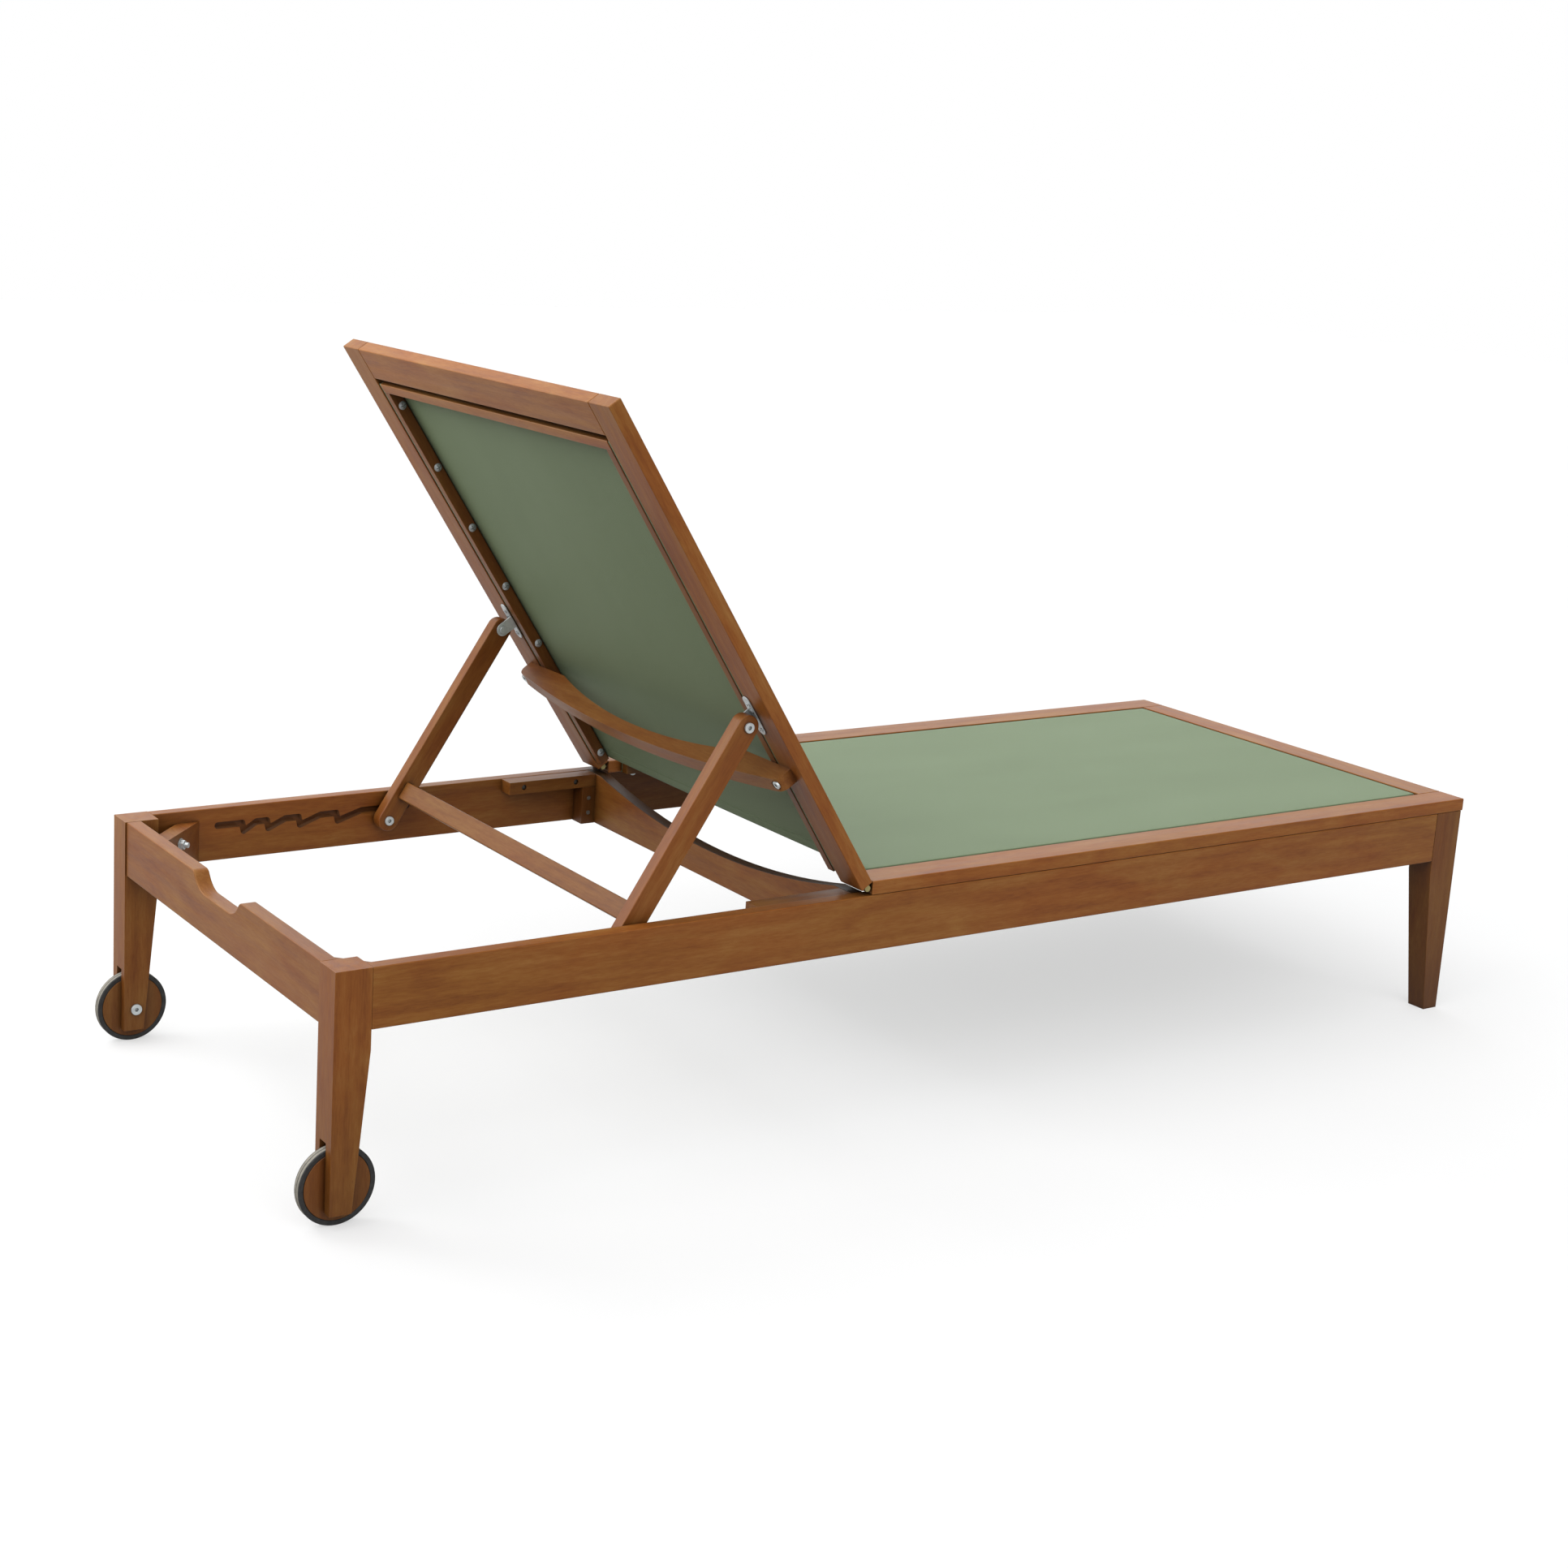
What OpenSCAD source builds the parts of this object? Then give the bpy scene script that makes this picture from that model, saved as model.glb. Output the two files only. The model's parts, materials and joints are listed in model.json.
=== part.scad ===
// Reclining sun lounger: hardwood frame, cloth slings, propped backrest and
// two small wheels at the head end. Millimetres, +Z up, head end toward -X,
// across the bed along Y. The bed stands on the plane z = 0.

/* [Overall] */
// length of the bed from head legs to foot edge
bed_length = 2000; // [1800:10:2200]
// width over the side rails
bed_width = 750; // [600:10:850]
// height of the top of the side rails
rail_top = 336; // [280:2:400]

/* [Rails and legs] */
// height of the side, head, middle and foot rails
rail_height = 80; // [60:1:100]
// thickness of the side rails
side_thick = 20; // [18:1:28]
// thickness of the head, middle and foot rails
cross_thick = 22; // [18:1:28]
// length of a head leg along the bed
head_leg_length = 50; // [45:1:60]
// length of a foot leg along the bed
foot_leg_length = 55; // [45:1:65]
// depth of a leg across the bed
leg_depth = 45; // [43:1:50]
// length of a leg at its lower end
leg_tip = 30; // [28:1:40]
// ground clearance under the forked head legs
fork_clear = 20; // [12:1:26]
// width of the wheel slot in a head leg
slot_width = 18; // [16:1:20]
// half width of the hand grip in the head rail
grip_half = 84; // [70:1:100]
// depth of the hand grip
grip_depth = 24; // [16:1:30]
// lowest point of the scooped middle rail below the rail top
scoop_depth = 36; // [20:1:40]

/* [Top frames] */
// thickness of the seat and back frame members
stile_thick = 20; // [18:1:26]
// width of the seat and back frame members
stile_width = 50; // [44:1:60]
// distance from the head end to the back hinge
hinge_place = 795; // [700:5:900]
// length of the back frame
back_length = 797; // [700:1:850]
// backrest angle above the flat position
back_angle = 56.4; // [40:0.1:60]

/* [Prop] */
// distance of the strut pivot from the hinge along the back
pivot_along = 305; // [280:1:330]
// distance of the strut pivot behind the hinge plane
pivot_behind = 32.7; // [28:0.1:38]
// distance between the strut pivot and its foot pin
strut_length = 338.7; // [320:0.1:350]
// height of the foot pin in the track
track_low = 297; // [290:1:302]
// width of a strut
strut_width = 33; // [28:1:36]
// thickness of a strut
strut_thick = 20; // [16:1:20]
// backrest angle between two notches
notch_step = 8.3; // [7:0.1:9]

/* [Wheels] */
// radius of a wheel
wheel_radius = 52; // [45:1:60]
// thickness of a wheel
wheel_thick = 14; // [12:1:15]
// distance from the head end to the axle
axle_place = 18; // [15:1:22]

/* [Hidden] */
$fn = 48;
eps = 0.01;
half = bed_width / 2;
inner = half - side_thick;
leg_inner = half - leg_depth;
stile_inner = half - stile_width;
rail_low = rail_top - rail_height;
seat_top = rail_top + stile_thick;
head_x = -(bed_length + axle_place - wheel_radius) / 2;
seat_start = hinge_place + 7;
foot_leg_x = bed_length - 4 - foot_leg_length;
hinge_x = head_x + hinge_place;
hinge_z = rail_top + stile_thick / 2;
mid_rail_x = hinge_place - 14;
back_start = 5;
back_top = back_start + back_length;
back_face = stile_thick / 2;
batten_out = stile_inner - 6;
batten_in = batten_out - 14;
cloth = 1.6;
cloth_end = 22;
pivot_x = hinge_x - pivot_along * cos(back_angle) - pivot_behind * sin(back_angle);
pivot_z = hinge_z + pivot_along * sin(back_angle) - pivot_behind * cos(back_angle);
prop_angle = asin((pivot_z - track_low) / strut_length);
strut_out = inner - 9;
strut_in = strut_out - strut_thick;
bar_along = 274;
bar_depth = 28;
bar_thick = 15;
slot_mid = half - 24;
slot_top = 112;
axle_radius = 4;
bore_gap = 0.4;
wheel_x = head_x + axle_place;
back_screw_at = [for (i = [0 : 6]) 38 + i * 110.4];
seat_screw_at = [for (i = [0 : 9]) seat_start + 50 + i * 116];
plate_screw_at = [281, 313, 324];
cross_along = 195;
cross_height = 22;
ledger_place = 625;
block_gap = 13;
block_width = 34.5;
block_low = 17;
bolt_drop = 34;
wood = [0.56, 0.36, 0.24];
wood_dark = [0.36, 0.21, 0.13];
wood_light = [0.66, 0.47, 0.37];
sling_green = [0.58, 0.64, 0.56];
zinc = [0.74, 0.75, 0.76];
brass = [0.58, 0.52, 0.34];
rubber = [0.12, 0.12, 0.12];

// Position of the foot pin along the bed when the back is lowered by an angle.
function pin_place(lowered) =
  hinge_place - norm([pivot_along, pivot_behind])
  * cos(back_angle - lowered - atan(pivot_behind / pivot_along))
  - strut_length * cos(prop_angle - lowered);

// Box given by its limits, x counted from the head end of the bed.
module slab(x0, x1, y0, y1, z0, z1) {
  translate([head_x + x0, y0, z0])
    cube([x1 - x0, y1 - y0, z1 - z0]);
}

// Carries children from the left side of the bed to the side asked for.
module side(s) {
  scale([1, s, 1]) children();
}

// Cylinder along Y from y0 to y1.
module rod(x, z, y0, y1, r) {
  translate([x, y1, z]) rotate([90, 0, 0]) cylinder(h = y1 - y0, r = r);
}

// Hexagon socket along Y from y0 to y1.
module socket(x, z, y0, y1, r) {
  translate([x, y1, z]) rotate([90, 0, 0]) cylinder(h = y1 - y0, r = r, $fn = 6);
}

// Frame of the backrest: x runs down to the hinge, z out of the front face.
module on_back() {
  translate([hinge_x, 0, hinge_z]) rotate([0, back_angle, 0]) children();
}

// Box on the backrest: along from the hinge, across, and depth from the front.
module back_slab(a0, a1, y0, y1, d0, d1) {
  translate([-a1, y0, back_face - d1])
    cube([a1 - a0, y1 - y0, d1 - d0]);
}

// Frame of the prop: x = 0 at the pivot, the strut runs toward -x.
module on_prop() {
  translate([pivot_x, 0, pivot_z]) rotate([0, -prop_angle, 0]) children();
}

// Round bar between two points of the track, drawn flat.
module stroke(a, b, r) {
  d = b - a;
  w = r - 0.06;
  translate(a) rotate(atan2(d[1], d[0])) translate([0, -w]) square([norm(d), 2 * w]);
  translate(a) circle(r = r);
  translate(b) circle(r = r);
}

// Saw-tooth track for the foot pin: a level slot and notches toward the hinge.
module track() {
  high = track_low + 12;
  r = 5.1;
  stroke([pin_place(back_angle), high], [pin_place(4 * notch_step) - 3, high], r);
  for (i = [4 : -1 : 0]) {
    low = pin_place(i * notch_step);
    next = i > 0 ? pin_place((i - 1) * notch_step) - 5 : low + 44;
    rise = low + (next - low) * 0.58;
    stroke([low - 3, high], [low, track_low], r);
    stroke([low, track_low], [rise, high], r);
    stroke([rise, high], [next, high], r);
  }
}

module side_rail(s) {
  color(wood)
  side(s)
  difference() {
    slab(head_leg_length, foot_leg_x, inner, half, rail_low, rail_top);
    translate([head_x, inner + 10, 0]) rotate([90, 0, 0])
      linear_extrude(height = 10 + 1) track();
  }
}

// Outline of the hand grip, cut down into the top edge with two arcs a side.
module grip_outline() {
  small = 12;
  large = 40;
  turn = acos(1 - grip_depth / (small + large));
  flat = grip_half - (small + large) * sin(turn);
  low = rail_top - grip_depth;
  curve = concat(
    [for (i = [0 : 8]) [flat + large * sin(turn * i / 8), low + large * (1 - cos(turn * i / 8))]],
    [for (i = [7 : -1 : 0]) [grip_half - small * sin(turn * i / 8),
      rail_top - small * (1 - cos(turn * i / 8))]],
    [[grip_half, rail_top + 9]]);
  last = len(curve) - 1;
  polygon(concat(curve, [for (i = [last : -1 : 0]) [-curve[i][0], curve[i][1]]]));
}

module head_rail() {
  color(wood)
  difference() {
    slab(2, 2 + cross_thick, -leg_inner, leg_inner, rail_low, rail_top);
    translate([head_x - 1, 0, 0]) rotate([90, 0, 90])
      linear_extrude(height = cross_thick + 6) grip_outline();
  }
}

module foot_rail() {
  color(wood)
  slab(bed_length - 6 - cross_thick, bed_length - 6, -leg_inner, leg_inner, rail_low, rail_top);
}

module mid_rail() {
  span = inner - 40;
  radius = (span * span + scoop_depth * scoop_depth) / (2 * scoop_depth);
  color(wood)
  difference() {
    slab(mid_rail_x, mid_rail_x + 20, -inner, inner, rail_low, rail_top);
    translate([head_x + mid_rail_x - 1, 0, rail_top - scoop_depth + radius])
      rotate([0, 90, 0]) cylinder(h = 22, r = radius, $fn = 200);
  }
}

module head_leg(s) {
  color(wood)
  side(s)
  difference() {
    translate([head_x, half, 0]) rotate([90, 0, 0]) linear_extrude(height = leg_depth)
      polygon([[0, fork_clear], [leg_tip, fork_clear], [head_leg_length, rail_low - 26],
        [head_leg_length, rail_top], [0, rail_top]]);
    slab(-1, head_leg_length + 1, slot_mid - slot_width / 2, slot_mid + slot_width / 2,
      0, slot_top);
    rod(wheel_x, wheel_radius, leg_inner - 1, half - 5, axle_radius + bore_gap);
    corner_bore(head_leg_length, 1, 24);
  }
}

module foot_leg(s) {
  knee = rail_low - 22;
  color(wood)
  side(s)
  difference() {
    intersection() {
      translate([head_x + foot_leg_x, half, 0]) rotate([90, 0, 0])
        linear_extrude(height = leg_depth)
        polygon([[foot_leg_length - leg_tip, 0], [foot_leg_length, 0],
          [foot_leg_length, rail_top], [0, rail_top], [0, knee]]);
      translate([head_x + foot_leg_x, 0, 0]) rotate([90, 0, 90])
        linear_extrude(height = foot_leg_length)
        polygon([[half - 32, 0], [half, 0], [half, rail_top], [leg_inner, rail_top],
          [leg_inner, knee]]);
    }
    corner_bore(foot_leg_x, -1, 24);
  }
}

// Bore along the diagonal of a leg corner; toward is +1 or -1 along the bed.
module corner_bore(x, toward, depth) {
  translate([head_x + x, leg_inner, rail_top - bolt_drop])
    rotate([0, 0, toward > 0 ? 135 : 45])
    rotate([0, 90, 0]) cylinder(h = depth, r = axle_radius + bore_gap);
}

// Diagonal block across a corner, mitred against the end rail and side rail.
module corner_block(s, x_rail, x_leg, toward) {
  reach_out = inner - leg_inner + abs(x_leg - x_rail) + block_gap;
  reach_in = reach_out + block_width;
  color(wood_dark)
  side(s)
  difference() {
    translate([head_x + x_rail, inner, rail_low]) scale([toward, 1, 1])
      linear_extrude(height = rail_height - block_low)
      polygon([[0, -reach_out], [reach_out, 0], [reach_in, 0], [0, -reach_in]]);
    translate([head_x + x_leg, leg_inner, rail_top - bolt_drop])
      rotate([0, 0, toward > 0 ? -45 : -135])
      rotate([0, 90, 0]) cylinder(h = 70, r = axle_radius + bore_gap);
  }
}

module head_block(s) {
  corner_block(s, 2 + cross_thick, head_leg_length, 1);
}

module foot_block(s) {
  corner_block(s, bed_length - 6 - cross_thick, foot_leg_x, -1);
}

// Hanger bolt with washer and nut through one corner block.
module corner_bolt(s, x, toward) {
  face = (block_gap + block_width) / sqrt(2) + eps;
  scale([1, s, 1]) translate([head_x + x, leg_inner, rail_top - bolt_drop])
    rotate([0, 0, toward > 0 ? -45 : -135]) rotate([0, 90, 0]) {
    translate([0, 0, -16]) cylinder(h = 16 + face + 13, r = axle_radius);
    translate([0, 0, face]) cylinder(h = 1.6, r = 9);
    translate([0, 0, face + 1.6]) cylinder(h = 5.5, r = 7.2, $fn = 6);
  }
}

module corner_bolts() {
  color(zinc)
  for (s = [-1, 1]) {
    corner_bolt(s, head_leg_length, 1);
    corner_bolt(s, foot_leg_x, -1);
  }
}

module mid_block(s) {
  color(wood_dark)
  side(s)
  difference() {
    slab(mid_rail_x - 24, mid_rail_x, inner - 28, inner, rail_low, rail_top - 20);
    for (z = [rail_low + 18, rail_low + 42])
      rod(head_x + mid_rail_x - 12, z, inner - 29, inner - 8, 2.4);
  }
}

module ledger(s) {
  color(wood)
  side(s)
  difference() {
    slab(ledger_place, mid_rail_x, inner - 27, inner, rail_top - 20, rail_top - 0.5);
    for (x = [26, 120]) {
      rod(head_x + ledger_place + x, rail_top - 10, inner - 28, inner - 8, 2.4);
      rod(head_x + ledger_place + x, rail_top - 10, inner - 28, inner - 22, 4.3);
    }
  }
}

// Pan head screw along Y: the head stands on the face y, the shank goes to +Y.
module pan_screw(x, z, y, head, tall, shank, depth) {
  rod(x, z, y - tall, y, head);
  rod(x, z, y - eps, y + depth, shank);
}

// Domed screw along Y with a cross recess, placed like a pan head screw.
module dome_screw(x, z, y, head, tall, shank, depth) {
  ball = (head * head + tall * tall) / (2 * tall);
  difference() {
    intersection() {
      translate([x, y - tall + ball, z]) rotate([90, 0, 0]) sphere(r = ball);
      translate([x - head - 1, y - tall - 1, z - head - 1])
        cube([2 * head + 2, tall + 1, 2 * head + 2]);
    }
    translate([x, y - tall, z]) rotate([90, 0, 0]) cross_recess(0.55 * head, 1.3, 1.5);
  }
  rod(x, z, y - eps, y + depth, shank);
}

// Cross-shaped cut around the origin, across the plane z = 0.
module cross_recess(reach, wide, deep) {
  translate([-reach, -wide / 2, -deep]) cube([2 * reach, wide, 2 * deep]);
  translate([-wide / 2, -reach, -deep]) cube([wide, 2 * reach, 2 * deep]);
}

module block_screws() {
  color(zinc)
  for (s = [-1, 1]) side(s) {
    for (z = [rail_low + 18, rail_low + 42])
      pan_screw(head_x + mid_rail_x - 12, z, inner - 28, 3.4, 0.6, 2, 18);
    for (x = [26, 120])
      pan_screw(head_x + ledger_place + x, rail_top - 10, inner - 22, 3.8, 1.2, 2, 13);
  }
}

module seat_bolts() {
  color(zinc)
  for (s = [-1, 1], x = [866, 1500]) side(s)
    rod(head_x + x, rail_top - 10, inner - 3, inner, 6);
}

module seat_stile(s) {
  color(wood_light)
  side(s)
  difference() {
    slab(seat_start, bed_length, stile_inner, half, rail_top, seat_top);
    slab(seat_start - 1, seat_start + 31, half - 45, half - 5, hinge_z - 1.1, hinge_z + 1.1);
  }
}

module seat_foot_bar() {
  color(wood_light)
  slab(bed_length - stile_width, bed_length, -stile_inner, stile_inner, rail_top, seat_top);
}

module seat_batten(s) {
  color(wood_dark)
  side(s)
  difference() {
    slab(seat_start + 22, bed_length - stile_width - 20, batten_in, batten_out,
      rail_top + 1, seat_top - 2.5);
    for (x = seat_screw_at) rod(head_x + x, hinge_z, batten_in - 1, batten_in + 12.5, 2.9);
  }
}

module seat_foot_batten() {
  color(wood_dark)
  slab(bed_length - stile_width - 20, bed_length - stile_width - 6, -batten_out, batten_out,
    rail_top + 1, seat_top - 2.5);
}

module seat_sling() {
  color(sling_green)
  slab(seat_start + cloth_end, bed_length - stile_width - 6 + cloth,
    -batten_out - cloth, batten_out + cloth, seat_top - 2, seat_top - 2 + cloth);
}

module seat_screws() {
  color(zinc)
  for (s = [-1, 1], x = seat_screw_at) side(s)
    dome_screw(head_x + x, hinge_z, batten_in, 6, 2.6, 2.5, 12);
}

module axle_bolt(s) {
  color(zinc)
  side(s) {
    rod(wheel_x, wheel_radius, leg_inner - 1, half - 5.5, axle_radius);
    difference() {
      rod(wheel_x, wheel_radius, leg_inner - 4, leg_inner, 8);
      socket(wheel_x, wheel_radius, leg_inner - 5, leg_inner - 1.4, 3);
    }
  }
}

// Three-knuckle hinge leaf; the seat leaf carries the pin and outer knuckles.
module hinge_seat(s) {
  color(brass)
  side(s) {
    slab(hinge_place + 3, seat_start + 30, half - 44, half - 32, hinge_z - 1, hinge_z + 1);
    slab(hinge_place + 3, seat_start + 30, half - 18, half - 6, hinge_z - 1, hinge_z + 1);
    slab(seat_start + 4, seat_start + 30, half - 44, half - 6, hinge_z - 1, hinge_z + 1);
    rod(hinge_x, hinge_z, half - 45, half - 31.5, 4.6);
    rod(hinge_x, hinge_z, half - 18.5, half - 2, 4.6);
    rod(hinge_x, hinge_z, half - 45, half - 2, 2.5);
  }
}

module hinge_back(s) {
  color(brass)
  side(s)
  on_back()
  difference() {
    union() {
      back_slab(back_start + 1, back_start + 30, half - 44, half - 6, back_face - 1,
        back_face + 1);
      back_slab(3, back_start + 2, half - 30, half - 20, back_face - 1, back_face + 1);
      rod(0, 0, half - 31, half - 19, 4.6);
    }
    rod(0, 0, half - 32, half - 18, 2.55);
  }
}

module back_stile(s) {
  color(wood_light)
  side(s)
  on_back()
  difference() {
    translate([0, half, 0]) rotate([90, 0, 0]) linear_extrude(height = stile_width)
      polygon([[-back_start, back_face], [-back_top, back_face], [-back_top, -back_face],
        [-back_start + 1.5, -back_face], [-back_start + 1.5, -5.5], [-back_start, -5.5]]);
    back_slab(back_start - 1, back_start + 31, half - 45, half - 5, back_face - 1.1,
      back_face + 1.1);
    translate([-cross_along - cross_height / 2, inner - 12, -back_face - 1])
      cylinder(h = 15, r = axle_radius + bore_gap);
  }
}

module back_top_bar() {
  color(wood_light)
  on_back()
  back_slab(back_top - 51, back_top, -stile_inner, stile_inner, 0, stile_thick);
}

module back_batten(s) {
  color(wood_dark)
  side(s)
  on_back()
  difference() {
    back_slab(back_start + 14, back_top - 75, batten_in, batten_out, 2.5, stile_thick - 0.5);
    for (a = back_screw_at) rod(-a, 0, batten_in - 1, batten_in + 12.5, 2.9);
  }
}

module back_top_batten() {
  color(wood_light)
  on_back()
  back_slab(back_top - 75, back_top - 60, -batten_out, batten_out, 2.5, stile_thick - 0.5);
}

module back_sling() {
  color(sling_green)
  on_back()
  back_slab(cloth_end, back_top - 60 + cloth, -batten_out - cloth, batten_out + cloth,
    0.4, 0.4 + cloth);
}

// Plan of the bowed crosspiece: y across, x is the depth behind the front face.
module cross_plan() {
  front = 975;
  rear = 2249;
  soft = 14;
  end_y = inner - 3 - soft;
  end_x = 72 - rear + sqrt(pow(rear - soft, 2) - end_y * end_y);
  lean = asin(end_y / (rear - soft));
  difference() {
    intersection() {
      translate([stile_thick, -inner + 3]) square([54, 2 * (inner - 3)]);
      translate([72 - rear, 0]) circle(r = rear, $fn = 720);
    }
    translate([52 - front, 0]) circle(r = front, $fn = 480);
    for (s = [-1, 1])
      translate([end_x, s * end_y])
        difference() {
          polygon([[0, 0], [2 * soft * cos(lean), s * 2 * soft * sin(lean)],
            [3 * soft, s * 3 * soft], [0, s * 2 * soft]]);
          circle(r = soft, $fn = 48);
        }
  }
}

module back_cross() {
  color(wood)
  on_back()
  difference() {
    translate([-cross_along - cross_height, 0, back_face]) rotate([0, 90, 0])
      linear_extrude(height = cross_height) cross_plan();
    for (s = [-1, 1])
      translate([-cross_along - cross_height / 2, s * (inner - 12), -back_face - 60]) {
        cylinder(h = 61, r = axle_radius + bore_gap);
        cylinder(h = 37, r = 7.2);
      }
  }
}

module cross_bolts() {
  color(zinc)
  on_back()
  for (s = [-1, 1])
    translate([-cross_along - cross_height / 2, s * (inner - 12), -back_face]) {
      translate([0, 0, -24]) cylinder(h = 36, r = axle_radius);
      difference() {
        translate([0, 0, -26]) cylinder(h = 3, r = 6.2);
        translate([0, 0, -27]) cylinder(h = 2.8, r = 3, $fn = 6);
      }
    }
}

module back_screws() {
  color(zinc)
  on_back()
  for (s = [-1, 1], a = back_screw_at) side(s)
    dome_screw(-a, 0, batten_in, 6.5, 2.8, 2.5, 12);
}

// Bracket: a plate on the rear of the stile with an ear beside the strut.
module strut_plate(s) {
  color(zinc)
  side(s)
  on_back() {
    translate([-pivot_along, strut_in + 4.8, -back_face - 2]) plate_outline();
    difference() {
      translate([-pivot_along, strut_in - 0.4, 0]) rotate([90, 0, 0])
        linear_extrude(height = 2) union() {
          translate([-10, -pivot_behind]) square([20, pivot_behind - back_face]);
          translate([0, -pivot_behind]) circle(r = 10);
        }
      rod(-pivot_along, -pivot_behind, strut_in - 4, strut_in + 1, axle_radius + bore_gap);
    }
  }
}

// Round-ended bracket plate lying on z = 0.
module plate_outline() {
  end = 7.2;
  for (x = [-32 + end, 33 - end]) translate([x, 0, 0]) cylinder(h = 2, r = end);
  translate([-32 + end, -end, 0]) cube([65 - 2 * end, 2 * end, 2]);
}

module plate_screws() {
  color(zinc)
  on_back()
  for (s = [-1, 1], a = plate_screw_at)
    translate([-a, s * (strut_in + 6), -back_face - 3.2])
    difference() {
      cylinder(h = 1.2, r = 3.4);
      cross_recess(1.9, 1, 0.8);
    }
}

// Bolts that carry the struts in the bracket ears.
module pivot_bolts() {
  color(zinc)
  on_back()
  for (s = [-1, 1]) side(s) {
    rod(-pivot_along, -pivot_behind, strut_in - 4, strut_out + 1, axle_radius);
    difference() {
      rod(-pivot_along, -pivot_behind, strut_out + 0.4, strut_out + 4, 7);
      socket(-pivot_along, -pivot_behind, strut_out + 1.6, strut_out + 5, 3);
    }
    rod(-pivot_along, -pivot_behind, strut_in - 5, strut_in - 2.4, 5.5);
  }
}

module strut(s) {
  color(wood)
  side(s)
  on_prop()
  difference() {
    translate([0, strut_out, 0]) rotate([90, 0, 0]) linear_extrude(height = strut_thick)
      difference() {
        union() {
          circle(r = strut_width / 2);
          translate([-strut_length, 0]) circle(r = strut_width / 2);
          translate([-strut_length, -strut_width / 2]) square([strut_length, strut_width]);
        }
        circle(r = axle_radius + bore_gap);
        translate([-strut_length, 0]) circle(r = axle_radius + bore_gap);
      }
  }
}

module prop_bar() {
  color(wood)
  on_prop()
  translate([-bar_along - bar_depth, -strut_in, -bar_thick / 2])
    cube([bar_depth, 2 * strut_in, bar_thick]);
}

// Foot pins that ride in the tracks of the side rails.
module foot_pins() {
  color(zinc)
  on_prop()
  for (s = [-1, 1]) side(s) {
    rod(-strut_length, 0, strut_in - 1, inner - 0.6, axle_radius);
    difference() {
      rod(-strut_length, 0, strut_in - 3.5, strut_in, 7);
      socket(-strut_length, 0, strut_in - 4, strut_in - 1.2, 3);
    }
  }
}

module wheel_disc(s) {
  color(wood_light)
  side(s)
  difference() {
    rod(wheel_x, wheel_radius, slot_mid - wheel_thick / 2, slot_mid + wheel_thick / 2,
      wheel_radius - 7);
    rod(wheel_x, wheel_radius, slot_mid - wheel_thick, slot_mid + wheel_thick, 7);
  }
}

module wheel_tyre(s) {
  color(rubber)
  side(s)
  difference() {
    rod(wheel_x, wheel_radius, slot_mid - wheel_thick / 2, slot_mid + wheel_thick / 2,
      wheel_radius);
    rod(wheel_x, wheel_radius, slot_mid - wheel_thick, slot_mid + wheel_thick,
      wheel_radius - 7);
  }
}

module wheel_bush(s) {
  color(zinc)
  side(s)
  difference() {
    rod(wheel_x, wheel_radius, slot_mid - wheel_thick / 2 - 1, slot_mid + wheel_thick / 2 + 1,
      7);
    rod(wheel_x, wheel_radius, slot_mid - wheel_thick, slot_mid + wheel_thick,
      axle_radius + 0.05);
  }
}

module side_rail_left() side_rail(1);
module side_rail_right() side_rail(-1);
module head_leg_left() head_leg(1);
module head_leg_right() head_leg(-1);
module foot_leg_left() foot_leg(1);
module foot_leg_right() foot_leg(-1);
module head_block_left() head_block(1);
module head_block_right() head_block(-1);
module foot_block_left() foot_block(1);
module foot_block_right() foot_block(-1);
module mid_block_left() mid_block(1);
module mid_block_right() mid_block(-1);
module ledger_left() ledger(1);
module ledger_right() ledger(-1);
module seat_stile_left() seat_stile(1);
module seat_stile_right() seat_stile(-1);
module seat_batten_left() seat_batten(1);
module seat_batten_right() seat_batten(-1);
module axle_bolt_left() axle_bolt(1);
module axle_bolt_right() axle_bolt(-1);
module hinge_seat_left() hinge_seat(1);
module hinge_seat_right() hinge_seat(-1);
module back_stile_left() back_stile(1);
module back_stile_right() back_stile(-1);
module back_batten_left() back_batten(1);
module back_batten_right() back_batten(-1);
module strut_plate_left() strut_plate(1);
module strut_plate_right() strut_plate(-1);
module hinge_back_left() hinge_back(1);
module hinge_back_right() hinge_back(-1);
module strut_left() strut(1);
module strut_right() strut(-1);
module wheel_disc_left() wheel_disc(1);
module wheel_disc_right() wheel_disc(-1);
module wheel_tyre_left() wheel_tyre(1);
module wheel_tyre_right() wheel_tyre(-1);
module wheel_bush_left() wheel_bush(1);
module wheel_bush_right() wheel_bush(-1);

side_rail_left();
side_rail_right();
head_rail();
mid_rail();
foot_rail();
head_leg_left();
head_leg_right();
foot_leg_left();
foot_leg_right();
head_block_left();
head_block_right();
foot_block_left();
foot_block_right();
mid_block_left();
mid_block_right();
ledger_left();
ledger_right();
corner_bolts();
block_screws();
seat_bolts();
seat_stile_left();
seat_stile_right();
seat_foot_bar();
seat_batten_left();
seat_batten_right();
seat_foot_batten();
seat_sling();
seat_screws();
axle_bolt_left();
axle_bolt_right();
hinge_seat_left();
hinge_seat_right();
back_stile_left();
back_stile_right();
back_top_bar();
back_batten_left();
back_batten_right();
back_top_batten();
back_sling();
back_cross();
cross_bolts();
back_screws();
strut_plate_left();
strut_plate_right();
plate_screws();
hinge_back_left();
hinge_back_right();
pivot_bolts();
strut_left();
strut_right();
prop_bar();
foot_pins();
wheel_disc_left();
wheel_disc_right();
wheel_tyre_left();
wheel_tyre_right();
wheel_bush_left();
wheel_bush_right();
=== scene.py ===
import json
import math

import bmesh
import bpy
from mathutils import Matrix, Vector


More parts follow.
